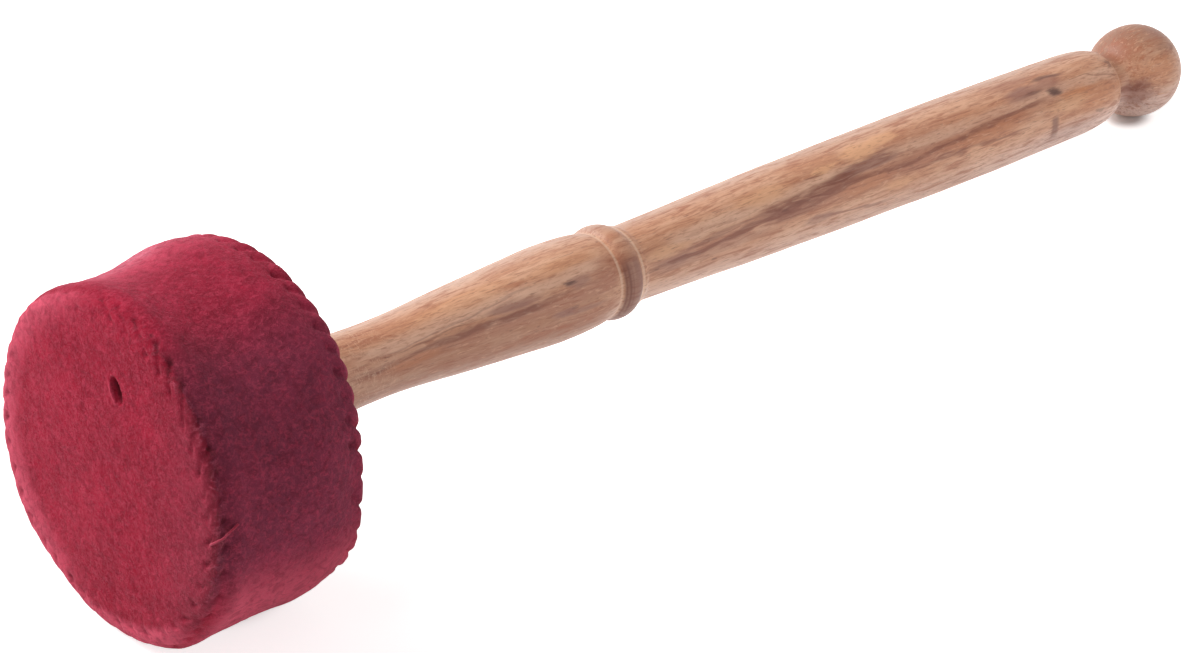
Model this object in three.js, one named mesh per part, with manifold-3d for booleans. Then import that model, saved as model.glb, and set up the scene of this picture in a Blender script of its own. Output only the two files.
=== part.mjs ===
// A singing bowl mallet: a turned hardwood handle with a felt-covered drum head.
// A wooden puck sits on the handle's spigot, held by a screw and a washer. Felt padding is
// wound round the puck, pinned with tacks, tied with twine and closed with a pad at each end.
// The red felt cover is a front disc, a band and a rear ring, sewn over their edges.
// Millimetres. The mallet is drawn along +X, from the front of the felt to the end of the knob,
// and is then laid down on its head and its knob, as it rests on a table. +Z is up.
import * as THREE from "three";
import { mergeVertices } from "three/addons/utils/BufferGeometryUtils.js";
import Module from "manifold-3d";

// Fits and facets that the pieces share
const GAP = 0.3; // between two pieces that touch
const OVERRUN = 2; // how far a cutting tool runs past what it cuts
const WELD = 0.0001; // corners closer than this are one corner
const ROUND_STEPS = 40; // facets round the head, one for each stitch
const HANDLE_STEPS = 28;
const SMALL_STEPS = 10; // facets round the screw, the washer's hole and the tacks

// The sewn felt cover
const COVER = {
  felt: 3,
  depth: 36,
  frontRadius: 35.4,
  waistAt: 9,
  waistRadius: 35.8,
  bellyAt: 25,
  bellyRadius: 37.5,
  rearRadius: 35.2,
  edgeRound: 2,
  restDent: 0.5, // how far the felt gives where the head lies on the table
};

// Sewing thread. The bite is how far from the outer corner the needle goes through. Stitches
// are counted from the top of the head, one to a facet.
const THREAD = { radius: 0.35, sides: 3, bite: 4.1 };
const FRONT_SEAM = { first: 10, stitches: 40, tail: 8 };
const REAR_SEAM = { first: 21, stitches: 38 }; // none where the head rests on the table
const BUTT_SEAM = { facet: 24, halfWidth: 1.7, stitches: 5, margin: 7 };

// A nick in the front felt, above its middle
const NICK = { up: 17.7, side: -3.2, length: 4.8, width: 1.5, depth: 1.6, turn: 0.49 };

// The core of the head
const PUCK = { radius: 16, recessRadius: 11 };
const PAD = { felt: 3 };
const ROLL = { felt: 3, turnGap: 0.4, startAngle: 0.2, stepsPerTurn: 20 };
const TWINE = { radius: 0.5, turns: 5, spacing: 3, stepsPerTurn: 16, sides: 4, easeShare: 0.15 };
const WASHER = { radius: 9.5, thickness: 1.5 };
const SCREW = {
  headRadius: 4.2, headHeight: 2.4, crownRadius: 3, slotWidth: 1, slotDepth: 1.1,
  coreRadius: 1.4, threadRadius: 2, threadSpacing: 2, length: 18, tipLength: 3, tipRadius: 0.2,
};
const TACK = {
  headRadius: 1.9, headHeight: 0.5, shankRadius: 0.6, length: 8, pointLength: 1.5,
  count: 3, spacing: 6, angle: 0.35,
};

// The turned handle: places along the mallet, and radii there
const HANDLE = {
  spigotRadius: 8, spigotChamfer: 0.8,
  seatRadius: 8.9,
  waistAt: 67, waistRadius: 7.9,
  swellMidAt: 90, swellMidRadius: 9.25,
  swellAt: 112, swellRadius: 10.5,
  swellEndAt: 126.4, swellEndRadius: 9.2,
  beadAt: 129.6, beadHalfWidth: 2.9, beadRadius: 10.4, beadSideRadius: 9,
  collarEndAt: 134.2, collarRadius: 9.1,
  gripStartAt: 134.7, gripStartRadius: 8.4,
  gripLowAt: 150, gripLowRadius: 8.75,
  gripMidAt: 180, gripMidRadius: 9.5,
  gripAt: 235, gripRadius: 10.1,
  gripHighAt: 272, gripHighRadius: 9.75,
  gripEndAt: 287, knobNeckRadius: 6,
  knobAt: 302, knobRadius: 11,
};

const FELT_RED = new THREE.MeshStandardMaterial({ color: 0xa32c45, roughness: 0.95, metalness: 0 });
const THREAD_RED = new THREE.MeshStandardMaterial({ color: 0xb8405a, roughness: 0.8, metalness: 0 });
const FELT_GREY = new THREE.MeshStandardMaterial({ color: 0x9a9488, roughness: 0.95, metalness: 0 });
const HARDWOOD = new THREE.MeshStandardMaterial({ color: 0xb0805f, roughness: 0.6, metalness: 0 });
const SOFTWOOD = new THREE.MeshStandardMaterial({ color: 0xcfae7e, roughness: 0.7, metalness: 0 });
const TWINE_BUFF = new THREE.MeshStandardMaterial({ color: 0xc8b48c, roughness: 0.9, metalness: 0 });
const STEEL = new THREE.MeshStandardMaterial({ color: 0xa9abae, roughness: 0.35, metalness: 1 });

const wasm = await Module();
wasm.setup();

// A closed geometry as a solid that can be cut
function solidOf(geometry) {
  const bare = geometry.clone();
  for (const name of Object.keys(bare.attributes)) if (name !== "position") bare.deleteAttribute(name);
  const merged = mergeVertices(bare, WELD);
  const index = merged.index.array;
  const kept = [];
  for (let i = 0; i < index.length; i += 3) {
    const [a, b, c] = [index[i], index[i + 1], index[i + 2]];
    if (a !== b && b !== c && c !== a) kept.push(a, b, c);
  }
  const vertProperties = new Float32Array(merged.attributes.position.array);
  return new wasm.Manifold(new wasm.Mesh({ numProp: 3, vertProperties, triVerts: new Uint32Array(kept) }));
}

function geometryOf(solid) {
  const mesh = solid.getMesh();
  const geometry = new THREE.BufferGeometry();
  geometry.setAttribute("position", new THREE.BufferAttribute(new Float32Array(mesh.vertProperties), 3));
  geometry.setIndex(new THREE.BufferAttribute(new Uint32Array(mesh.triVerts), 1));
  geometry.computeVertexNormals();
  return geometry;
}

function cut(geometry, ...tools) {
  let solid = solidOf(geometry);
  for (const tool of tools) solid = solid.subtract(solidOf(tool));
  return geometryOf(solid);
}

// A profile of [place along X, radius] pairs, turned about the mallet's axis
function turned(profile, steps) {
  const points = profile.map(([x, r]) => new THREE.Vector2(r, x));
  return new THREE.LatheGeometry(points, steps).rotateZ(-Math.PI / 2);
}

// Points of a round stretch of a profile, between two angles measured from -X towards the outside
function arc(x, r, radius, from, to, steps) {
  return Array.from({ length: steps + 1 }, (_, i) => {
    const angle = from + ((to - from) * i) / steps;
    return [x - radius * Math.cos(angle), r + radius * Math.sin(angle)];
  });
}

// Points of a smooth stretch of a profile through the given [x, r] pairs
function flow(knots, steps) {
  const curve = new THREE.SplineCurve(knots.map(([x, r]) => new THREE.Vector2(x, r)));
  return curve.getPoints(steps).map((p) => [p.x, p.y]);
}

// Points of a profile that rounds over like a quarter of an ellipse, without its first point
function roundOver([x0, r0], [x1, r1], steps) {
  return Array.from({ length: steps }, (_, i) => {
    const angle = (Math.PI / 2) * ((i + 1) / steps);
    return [x0 + (x1 - x0) * Math.sin(angle), r1 + (r0 - r1) * Math.cos(angle)];
  });
}

// The middles of a circle's facets lie inside it. This makes up for it.
function overFacets(radius, steps) {
  return radius / Math.cos(Math.PI / steps);
}

// A point at a place along X, a radius and an angle about the axis, 0 being straight up
function onAxis(x, r, angle) {
  return new THREE.Vector3(x, -r * Math.sin(angle), r * Math.cos(angle));
}

// A cord along a path, mitred at its bends. Each stop has its point and a direction across the path.
function cordAlong(path, radius, sides) {
  const vertices = [];
  const last = path.length - 1;
  path.forEach(({ point, across }, i) => {
    const before = point.clone().sub(path[Math.max(i - 1, 0)].point).normalize();
    const after = path[Math.min(i + 1, last)].point.clone().sub(point).normalize();
    const along = before.clone().add(after).normalize();
    const stretch = 1 / Math.max(along.dot(before), along.dot(after));
    const first = across.clone().addScaledVector(along, -across.dot(along)).normalize();
    const second = along.clone().cross(first);
    for (let k = 0; k < sides; k++) {
      const turn = (2 * Math.PI * (k + 0.5)) / sides;
      const offset = first.clone().multiplyScalar(radius * Math.cos(turn));
      offset.addScaledVector(second, radius * stretch * Math.sin(turn));
      vertices.push(...offset.add(point).toArray());
    }
  });
  return ringed(vertices, sides);
}

// A closed skin over rings of corners, each ring turning the same way about the line of rings
function ringed(vertices, sides) {
  const index = [];
  const last = vertices.length / 3 / sides - 1;
  for (let i = 0; i < last; i++) {
    for (let k = 0; k < sides; k++) {
      const [a, b] = [i * sides + k, i * sides + ((k + 1) % sides)];
      index.push(a, b, b + sides, a, b + sides, a + sides);
    }
  }
  for (let k = 1; k < sides - 1; k++) {
    index.push(0, k + 1, k);
    index.push(last * sides, last * sides + k, last * sides + k + 1);
  }
  const geometry = new THREE.BufferGeometry();
  geometry.setAttribute("position", new THREE.Float32BufferAttribute(vertices, 3));
  geometry.setIndex(index);
  return geometry;
}

// Outside of the cover between its two rounded edges
const bandOutline = flow(
  [
    [COVER.edgeRound, COVER.frontRadius],
    [COVER.waistAt, COVER.waistRadius],
    [COVER.bellyAt, COVER.bellyRadius],
    [COVER.depth - COVER.edgeRound, COVER.rearRadius],
  ],
  6,
);

function bandRadiusAt(x) {
  const next = Math.max(1, bandOutline.findIndex(([place]) => place >= x));
  const [[x0, r0], [x1, r1]] = [bandOutline[next - 1], bandOutline[next]];
  return r0 + ((r1 - r0) * (x - x0)) / (x1 - x0);
}

const stitchStep = (2 * Math.PI) / ROUND_STEPS;
const threadLay = GAP + THREAD.radius; // from the felt's surface to the middle of a thread on it
const needleRadius = THREAD.radius + GAP / Math.cos(Math.PI / THREAD.sides);

// The corner that a seam closes: a place along X with its radius, and the direction out of the head
const frontCorner = { x: 0, r: COVER.frontRadius, out: -1 };
const rearCorner = { x: COVER.depth, r: COVER.rearRadius, out: 1 };

// Whip stitches over a corner: in through the face, out through the band, and over the rounded
// edge to the next stitch. The last stitch ends where the thread comes out of the band.
function whipStitches({ x, r, out }, { first, stitches }) {
  const rounded = COVER.edgeRound - (COVER.edgeRound + threadLay) * Math.tan(Math.PI / 8);
  const bandRadius = bandRadiusAt(x - out * THREAD.bite) + threadLay;
  const stops = [
    [-threadLay, r - THREAD.bite, 0],
    [THREAD.bite, r - THREAD.bite, 0],
    [THREAD.bite, bandRadius, 0],
    [rounded, r + threadLay, 1 / 3],
    [-threadLay, r - rounded, 2 / 3],
  ];
  const path = [];
  for (let stitch = first; stitch < first + stitches; stitch++) {
    for (const [behindFace, radius, share] of stops) {
      const angle = (stitch + 0.5 + share) * stitchStep;
      const point = onAxis(x - out * behindFace, radius, angle);
      path.push({ point, across: onAxis(0, 1, angle + Math.PI / 2) });
    }
  }
  return path.slice(0, -2);
}

// Where the needle goes at each stitch, as rods through the face or through the band
function needles(ends, { first, stitches }) {
  return Array.from({ length: stitches }, (_, i) => {
    const angle = (first + i + 0.5) * stitchStep;
    const across = onAxis(0, 1, angle + Math.PI / 2);
    return cordAlong(ends.map(([x, r]) => ({ point: onAxis(x, r, angle), across })), needleRadius, THREAD.sides);
  });
}

function faceNeedles({ x, r, out }, seam) {
  const radius = r - THREAD.bite;
  return needles([[x + out * OVERRUN, radius], [x - out * (COVER.felt + OVERRUN), radius]], seam);
}

function bandNeedles({ x, r, out }, seam) {
  const place = x - out * THREAD.bite;
  return needles([[place, r - COVER.felt - OVERRUN], [place, r + OVERRUN]], seam);
}

const thread = (path) => cordAlong(path, THREAD.radius, THREAD.sides);

// The front seam ends in a loose tail that lies along the band
function frontSeamThread() {
  const path = whipStitches(frontCorner, FRONT_SEAM);
  const { point, across } = path[path.length - 1];
  const end = point.clone().setX(THREAD.bite + FRONT_SEAM.tail);
  const rise = (bandRadiusAt(end.x) + threadLay) / Math.hypot(point.y, point.z);
  path.push({ point: new THREE.Vector3(end.x, end.y * rise, end.z * rise), across });
  return thread(path);
}

function rearSeamThread() {
  return thread(whipStitches(rearCorner, REAR_SEAM));
}

// Lacing across the joint where the band's two ends meet
const buttAngle = (BUTT_SEAM.facet + 0.5) * stitchStep;
const buttPitch = (COVER.depth - 2 * BUTT_SEAM.margin) / BUTT_SEAM.stitches;

function onButt(x, depth, side) {
  const point = new THREE.Vector3(x, side, bandRadiusAt(x) * Math.cos(stitchStep / 2) - depth);
  return point.applyAxisAngle(new THREE.Vector3(1, 0, 0), buttAngle);
}

const buttAcross = new THREE.Vector3(1, 0, 0);
const buttPlaces = Array.from({ length: BUTT_SEAM.stitches + 1 }, (_, i) => BUTT_SEAM.margin + buttPitch * i);

function bandSeamThread() {
  const inside = COVER.felt + threadLay;
  const path = [];
  for (const x of buttPlaces) {
    for (const [place, depth, side] of [
      [x, -threadLay, -BUTT_SEAM.halfWidth],
      [x, inside, -BUTT_SEAM.halfWidth],
      [x, inside, BUTT_SEAM.halfWidth],
      [x, -threadLay, BUTT_SEAM.halfWidth],
      [x + buttPitch / 2, -threadLay, 0],
    ]) {
      path.push({ point: onButt(place, depth, side), across: buttAcross });
    }
  }
  return thread(path.slice(1, -2));
}

function buttNeedles() {
  return buttPlaces.flatMap((x) =>
    [-BUTT_SEAM.halfWidth, BUTT_SEAM.halfWidth].map((side) => {
      const ends = [COVER.felt + OVERRUN, -OVERRUN].map((depth) => onButt(x, depth, side));
      return cordAlong(ends.map((point) => ({ point, across: buttAcross })), needleRadius, THREAD.sides);
    }),
  );
}

const mitreLean = Math.asin(GAP / 2 / COVER.edgeRound); // half the gap, seen from the edge's middle
const mitreShift = (GAP / 2) * Math.SQRT2; // half the gap, measured along X

function coverFront() {
  const rim = arc(
    COVER.edgeRound, COVER.frontRadius - COVER.edgeRound, COVER.edgeRound,
    0, Math.PI / 4 - mitreLean, 2,
  );
  const profile = [[0, 0], ...rim, [COVER.felt, COVER.frontRadius - COVER.felt - mitreShift], [COVER.felt, 0]];
  const nick = new THREE.SphereGeometry(1, 10, 6)
    .scale(NICK.depth, NICK.width / 2, NICK.length / 2)
    .rotateX(-NICK.turn)
    .translate(0, NICK.side, NICK.up);
  return cut(turned(profile, ROUND_STEPS), ...faceNeedles(frontCorner, FRONT_SEAM), nick);
}

function coverRear() {
  const rim = arc(
    COVER.depth - COVER.edgeRound, COVER.rearRadius - COVER.edgeRound, COVER.edgeRound,
    0.75 * Math.PI + mitreLean, Math.PI, 2,
  );
  const hole = overFacets(HANDLE.seatRadius + GAP, ROUND_STEPS);
  const inside = COVER.depth - COVER.felt;
  const start = [inside, hole];
  const profile = [start, [inside, COVER.rearRadius - COVER.felt - mitreShift], ...rim, [COVER.depth, hole], start];
  return cut(turned(profile, ROUND_STEPS), ...faceNeedles(rearCorner, REAR_SEAM));
}

// A block that stands for the table, as the mallet's own axis sees it
function tableTop() {
  const size = 2 * (HANDLE.knobAt + HANDLE.knobRadius);
  return new THREE.BoxGeometry(size, size, size).translate(0, 0, -size / 2 - axisHeight).rotateY(-tilt);
}

function coverBand() {
  const front = arc(
    COVER.edgeRound, COVER.frontRadius - COVER.edgeRound, COVER.edgeRound,
    Math.PI / 4 + mitreLean, Math.PI / 2, 1,
  );
  const rear = arc(
    COVER.depth - COVER.edgeRound, COVER.rearRadius - COVER.edgeRound, COVER.edgeRound,
    Math.PI / 2, 0.75 * Math.PI - mitreLean, 1,
  );
  const inside = bandOutline.slice(1, -1).map(([x, r]) => [x, r - COVER.felt]).reverse();
  const start = [COVER.felt + mitreShift, COVER.frontRadius - COVER.felt];
  const end = [COVER.depth - COVER.felt - mitreShift, COVER.rearRadius - COVER.felt];
  const profile = [start, ...front, ...bandOutline.slice(1, -1), ...rear, end, ...inside, start];
  const buttGap = new THREE.BoxGeometry(COVER.depth + OVERRUN, GAP, 2 * COVER.felt + OVERRUN)
    .translate(COVER.depth / 2, 0, COVER.bellyRadius - COVER.felt / 2)
    .rotateX(buttAngle);
  const holes = [
    ...bandNeedles(frontCorner, FRONT_SEAM),
    ...bandNeedles(rearCorner, REAR_SEAM),
    ...buttNeedles(),
  ];
  return cut(turned(profile, ROUND_STEPS), ...holes, buttGap, tableTop());
}

// Places along X inside the head, from the front felt to the rear felt
const frontPadAt = COVER.felt + GAP;
const coreFrontAt = frontPadAt + PAD.felt + GAP;
const rearPadEndAt = COVER.depth - COVER.felt - GAP;
const rearPadAt = rearPadEndAt - PAD.felt;
const coreRearAt = rearPadAt - GAP;
const washerAt = coreFrontAt + SCREW.headHeight + GAP;
const spigotEndAt = washerAt + WASHER.thickness + GAP;

// Both pads keep clear of the stitches on the inside of the cover
const padRadius = Math.min(COVER.frontRadius, COVER.rearRadius) - THREAD.bite - threadLay;

function frontPad() {
  const end = frontPadAt + PAD.felt;
  return turned([[frontPadAt, 0], [frontPadAt, padRadius], [end, padRadius], [end, 0]], ROUND_STEPS);
}

function rearPad() {
  const hole = overFacets(HANDLE.seatRadius + GAP, ROUND_STEPS);
  const start = [rearPadAt, hole];
  const profile = [start, [rearPadAt, padRadius], [rearPadEndAt, padRadius], [rearPadEndAt, hole], start];
  return turned(profile, ROUND_STEPS);
}

// The padding strip, wound on the puck as a flat spiral. Round it go the twine and the cover,
// whose lacing reaches in furthest where the band is narrowest.
const narrowest = Math.min(...[BUTT_SEAM.margin, COVER.bellyAt, rearPadEndAt].map(bandRadiusAt));
const rollOuterRadius =
  narrowest - COVER.felt - 2 * threadLay - overFacets(2 * TWINE.radius + GAP, TWINE.stepsPerTurn);
const rollStart = PUCK.radius + GAP;
const rollPitch = ROLL.felt + ROLL.turnGap;
const rollTurns = (rollOuterRadius - rollStart - ROLL.felt) / rollPitch;

function paddingRoll() {
  const steps = Math.ceil(rollTurns * ROLL.stepsPerTurn);
  const inner = [];
  const outer = [];
  for (let i = 0; i <= steps; i++) {
    const turns = (rollTurns * i) / steps;
    const angle = ROLL.startAngle + 2 * Math.PI * turns;
    const along = new THREE.Vector2(Math.cos(angle), Math.sin(angle));
    const r = rollStart + rollPitch * turns;
    inner.push(along.clone().multiplyScalar(r));
    outer.push(along.clone().multiplyScalar(r + ROLL.felt));
  }
  const shape = new THREE.Shape([...inner, ...outer.reverse()]);
  const strip = new THREE.ExtrudeGeometry(shape, { depth: coreRearAt - coreFrontAt, bevelEnabled: false });
  strip.rotateY(-Math.PI / 2).rotateZ(Math.PI).translate(coreFrontAt, 0, 0);
  return cut(strip, ...tackPlaces.map((place) => tack(place, GAP)));
}

function corePuck() {
  const bore = overFacets(HANDLE.spigotRadius + GAP, ROUND_STEPS);
  const recessEnd = washerAt + WASHER.thickness + GAP;
  const start = [coreFrontAt, PUCK.recessRadius];
  const profile = [
    start,
    [coreFrontAt, PUCK.radius],
    [coreRearAt, PUCK.radius],
    [coreRearAt, bore],
    [recessEnd, bore],
    [recessEnd, PUCK.recessRadius],
    start,
  ];
  return cut(turned(profile, ROUND_STEPS), ...tackPlaces.map((place) => tack(place, GAP)));
}

// Tacks pin the start of the padding strip to the puck. Their heads sink into the felt.
const tackPlaces = Array.from(
  { length: TACK.count },
  (_, i) => (coreFrontAt + coreRearAt) / 2 + (i - (TACK.count - 1) / 2) * TACK.spacing,
);

function tack(place, room) {
  const head = TACK.headRadius + room;
  const shank = TACK.shankRadius + room;
  const underHead = -TACK.headHeight - room;
  const profile = [
    [0, -TACK.length - room],
    [shank, -TACK.length + TACK.pointLength],
    [shank, underHead],
    [head, underHead],
    [head, room],
    [0, room],
  ].map(([r, z]) => new THREE.Vector2(r, z));
  return new THREE.LatheGeometry(profile, SMALL_STEPS)
    .rotateX(Math.PI / 2)
    .translate(place, 0, rollStart + ROLL.felt)
    .rotateX(TACK.angle);
}

// Twine tied round the padding. It falls just past the end of the strip, and climbs again
// with the outermost turn.
function bindingTwine() {
  const from = (coreFrontAt + coreRearAt - TWINE.turns * TWINE.spacing) / 2;
  const endAngle = ROLL.startAngle + 2 * Math.PI * rollTurns;
  const path = [];
  for (let i = 0; i <= TWINE.turns * TWINE.stepsPerTurn; i++) {
    const share = (i % TWINE.stepsPerTurn) / TWINE.stepsPerTurn;
    const height = Math.max(share, 1 - share / TWINE.easeShare);
    const under = rollOuterRadius - rollPitch * (1 - height);
    const angle = endAngle + (2 * Math.PI * i) / TWINE.stepsPerTurn;
    const r = overFacets(under + GAP + TWINE.radius, TWINE.stepsPerTurn);
    const x = from + (TWINE.spacing * i) / TWINE.stepsPerTurn;
    path.push({ point: onAxis(x, r, angle), across: onAxis(0, 1, angle) });
  }
  return cordAlong(path, TWINE.radius, TWINE.sides);
}

function retainingWasher() {
  const hole = overFacets(SCREW.threadRadius + GAP, 2 * SMALL_STEPS);
  const end = washerAt + WASHER.thickness;
  const start = [washerAt, hole];
  return turned([start, [washerAt, WASHER.radius], [end, WASHER.radius], [end, hole], start], 2 * SMALL_STEPS);
}

// A wood screw whose thread is a ridge that runs round its core as a helix
function retainingScrew() {
  const seat = washerAt - GAP;
  const rowsPerTurn = 4;
  const rows = Math.round((rowsPerTurn * SCREW.length) / SCREW.threadSpacing);
  const vertices = [];
  const ring = (x, radiusAt) => {
    for (let k = 0; k < SMALL_STEPS; k++) {
      const share = k / SMALL_STEPS;
      vertices.push(...onAxis(x, radiusAt(share), 2 * Math.PI * share).toArray());
    }
  };
  ring(seat - SCREW.headHeight, () => SCREW.crownRadius);
  ring(seat - SCREW.headHeight / 2, () => SCREW.headRadius);
  ring(seat, () => SCREW.headRadius);
  ring(seat, () => SCREW.coreRadius);
  for (let i = 1; i <= rows; i++) {
    const run = (SCREW.length * i) / rows;
    const taper = Math.min(1, (SCREW.length - run) / SCREW.tipLength);
    const grow = Math.min(1, run / SCREW.threadSpacing - 1);
    ring(seat + run, (share) => {
      const phase = run / SCREW.threadSpacing - share;
      const ridge = Math.max(0, 1 - rowsPerTurn * Math.abs(phase - Math.round(phase)));
      const height = (SCREW.threadRadius - SCREW.coreRadius) * ridge * Math.max(0, grow);
      return Math.max(SCREW.tipRadius, taper * (SCREW.coreRadius + height));
    });
  }
  const slot = new THREE.BoxGeometry(2 * SCREW.slotDepth, 2 * SCREW.headRadius + OVERRUN, SCREW.slotWidth);
  return cut(ringed(vertices, SMALL_STEPS), slot.translate(seat - SCREW.headHeight, 0, 0));
}

function handle() {
  const H = HANDLE;
  const seatAt = coreRearAt + GAP;
  const swellTop = [H.swellAt, H.swellRadius];
  const gripTop = [H.gripHighAt, H.gripHighRadius];
  const beadSteps = 6;
  const bead = Array.from({ length: beadSteps + 1 }, (_, i) => {
    const angle = (Math.PI * i) / beadSteps;
    const rise = (H.beadRadius - H.beadSideRadius) * Math.sin(angle);
    return [H.beadAt - H.beadHalfWidth * Math.cos(angle), H.beadSideRadius + rise];
  });
  const swell = flow(
    [
      [COVER.depth, H.seatRadius],
      [H.waistAt, H.waistRadius],
      [H.swellMidAt, H.swellMidRadius],
      swellTop,
    ],
    12,
  );
  const grip = flow(
    [
      [H.gripStartAt, H.gripStartRadius],
      [H.gripLowAt, H.gripLowRadius],
      [H.gripMidAt, H.gripMidRadius],
      [H.gripAt, H.gripRadius],
      gripTop,
    ],
    8,
  );
  const knob = arc(H.knobAt, 0, H.knobRadius, Math.asin(H.knobNeckRadius / H.knobRadius), Math.PI, 10);
  const profile = [
    [spigotEndAt, 0],
    [spigotEndAt, H.spigotRadius - H.spigotChamfer],
    [spigotEndAt + H.spigotChamfer, H.spigotRadius],
    [seatAt, H.spigotRadius],
    [seatAt, H.seatRadius],
    ...swell,
    ...roundOver(swellTop, [H.swellEndAt, H.swellEndRadius], 5),
    ...bead,
    [H.beadAt + H.beadHalfWidth, H.collarRadius],
    [H.collarEndAt, H.collarRadius],
    ...grip,
    ...roundOver(gripTop, [H.gripEndAt, H.knobNeckRadius], 5),
    ...knob,
  ];
  const pilotRadius = overFacets(SCREW.threadRadius + GAP, SMALL_STEPS);
  const pilotLength = SCREW.length + OVERRUN;
  const pilot = new THREE.CylinderGeometry(pilotRadius, pilotRadius, pilotLength, SMALL_STEPS)
    .rotateZ(Math.PI / 2)
    .translate(washerAt + pilotLength / 2, 0, 0);
  return cut(turned(profile, HANDLE_STEPS), pilot);
}

// How far the axis leans down towards the knob when the mallet lies on its knob and on [x, r]
function tiltOn([x, r]) {
  const run = HANDLE.knobAt - x;
  const drop = r - COVER.restDent;
  return Math.atan2(drop, run) - Math.asin(HANDLE.knobRadius / Math.hypot(run, drop));
}
const tilt = Math.max(...bandOutline.map(tiltOn));
const axisHeight = HANDLE.knobRadius + HANDLE.knobAt * Math.sin(tilt); // of the axis at the front felt

const mallet = new THREE.Group();

function add(name, geometry, material) {
  const mesh = new THREE.Mesh(geometry, material);
  mesh.name = name;
  mallet.add(mesh);
}

add("handle", handle(), HARDWOOD);
add("core_puck", corePuck(), SOFTWOOD);
add("retaining_washer", retainingWasher(), STEEL);
add("retaining_screw", retainingScrew(), STEEL);
add("padding_roll", paddingRoll(), FELT_GREY);
tackPlaces.forEach((place, i) => add(`padding_tack_${i + 1}`, tack(place, 0), STEEL));
add("binding_twine", bindingTwine(), TWINE_BUFF);
add("front_pad", frontPad(), FELT_GREY);
add("rear_pad", rearPad(), FELT_GREY);
add("cover_front", coverFront(), FELT_RED);
add("cover_band", coverBand(), FELT_RED);
add("cover_rear", coverRear(), FELT_RED);
add("front_seam_thread", frontSeamThread(), THREAD_RED);
add("rear_seam_thread", rearSeamThread(), THREAD_RED);
add("band_seam_thread", bandSeamThread(), THREAD_RED);

// Lay the mallet down: the table is z = 0, and the origin is under the middle of the mallet
mallet.rotation.y = tilt;
mallet.position.z = axisHeight;
const box = new THREE.Box3().setFromObject(mallet, true);
mallet.position.x = -(box.min.x + box.max.x) / 2;

export default mallet;
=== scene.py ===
"""A singing bowl mallet: a turned hardwood handle with a drum-shaped head sewn in crimson felt.

Shapes are drawn in millimetres in the mallet's own frame. There x runs along the mallet, from the
middle of the front felt towards the knob, and angles go round it in degrees, from the top towards
the side that faces the camera. Each piece is then laid down in metres, as the mallet lies.
"""

import math

import bmesh
import bpy
import numpy as np
from mathutils import Matrix, Vector, noise


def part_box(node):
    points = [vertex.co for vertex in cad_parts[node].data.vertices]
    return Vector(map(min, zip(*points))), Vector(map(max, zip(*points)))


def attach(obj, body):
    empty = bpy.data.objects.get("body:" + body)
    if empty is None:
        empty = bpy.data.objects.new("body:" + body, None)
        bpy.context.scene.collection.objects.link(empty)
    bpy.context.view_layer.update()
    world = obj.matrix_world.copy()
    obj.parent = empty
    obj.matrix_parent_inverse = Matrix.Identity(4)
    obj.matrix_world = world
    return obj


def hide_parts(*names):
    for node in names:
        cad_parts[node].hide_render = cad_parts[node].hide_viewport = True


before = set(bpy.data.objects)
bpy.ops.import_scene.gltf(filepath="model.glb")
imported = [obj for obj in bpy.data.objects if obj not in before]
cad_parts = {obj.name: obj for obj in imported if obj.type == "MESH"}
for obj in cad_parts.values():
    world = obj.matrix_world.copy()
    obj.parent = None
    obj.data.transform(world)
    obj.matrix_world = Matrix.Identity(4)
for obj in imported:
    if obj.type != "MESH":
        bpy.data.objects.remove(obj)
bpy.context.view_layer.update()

# Camera: it looks at the mallet from the front left and from above, with a long lens. Its place
# follows from the pixel at which the middle of the front felt shows, and from how far off that is.
MM = 0.001
PHOTO_WIDTH, PHOTO_HEIGHT = 1200, 653
FACE_PIXEL = (106.8, 461.3)
FACE_DISTANCE = 763.6
FOCAL_PIXELS = 4000
SENSOR_WIDTH = 36
VIEW_TURN, VIEW_DROP = math.radians(42.727), math.radians(32.725)


def middle(node):
    low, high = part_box(node)
    return (low + high) / 2


axis = (middle("rear_pad") - middle("front_pad")).normalized()


def reach(node, end):
    """The first or last place of a node along the mallet's axis."""
    return end(corner.co.dot(axis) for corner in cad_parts[node].data.vertices)


to_face = reach("cover_front", min) - middle("front_pad").dot(axis)
across = Vector((0, 1, 0))
mallet = Matrix((axis, across, axis.cross(across))).transposed().to_4x4()
mallet.translation = middle("front_pad") + axis * to_face

camera = bpy.data.objects.new("camera", bpy.data.cameras.new("camera"))
camera.data.sensor_width = SENSOR_WIDTH
camera.data.lens = FOCAL_PIXELS / PHOTO_WIDTH * SENSOR_WIDTH
camera.rotation_euler = (math.pi / 2 - VIEW_DROP, 0, -VIEW_TURN)
face_from_camera = Vector((
    (FACE_PIXEL[0] - PHOTO_WIDTH / 2) / FOCAL_PIXELS,
    (PHOTO_HEIGHT / 2 - FACE_PIXEL[1]) / FOCAL_PIXELS,
    -1,
)) * FACE_DISTANCE * MM
camera.location = mallet.translation - camera.rotation_euler.to_matrix() @ face_from_camera
bpy.context.scene.collection.objects.link(camera)
bpy.context.scene.camera = camera
bpy.context.scene.view_settings.view_transform = "Standard"

# Light: one wide soft lamp above and behind the head, to the left, which lights its face and its top.
# A small weak lamp low beside the handle lights the camera's side, and a pale room the rest.
# Each lamp has the side that it is on, its power, its size and its distance.
LAMPS = (
    ("key_lamp", Vector((-0.4, 0.59, 0.7)), 17.5, 0.8, 1.2),
    ("fill_lamp", Vector((0.48, -0.84, 0.24)), 0.62, 0.3, 0.48),
)
ROOM_LIGHT = 0.27
for name, side, power, size, distance in LAMPS:
    lamp = bpy.data.objects.new(name, bpy.data.lights.new(name, "AREA"))
    lamp.data.energy = power
    lamp.data.size = size
    lamp.location = side.normalized() * distance
    lamp.visible_camera = False
    lamp.rotation_euler = side.to_track_quat("Z", "Y").to_euler()
    bpy.context.scene.collection.objects.link(lamp)


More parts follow.
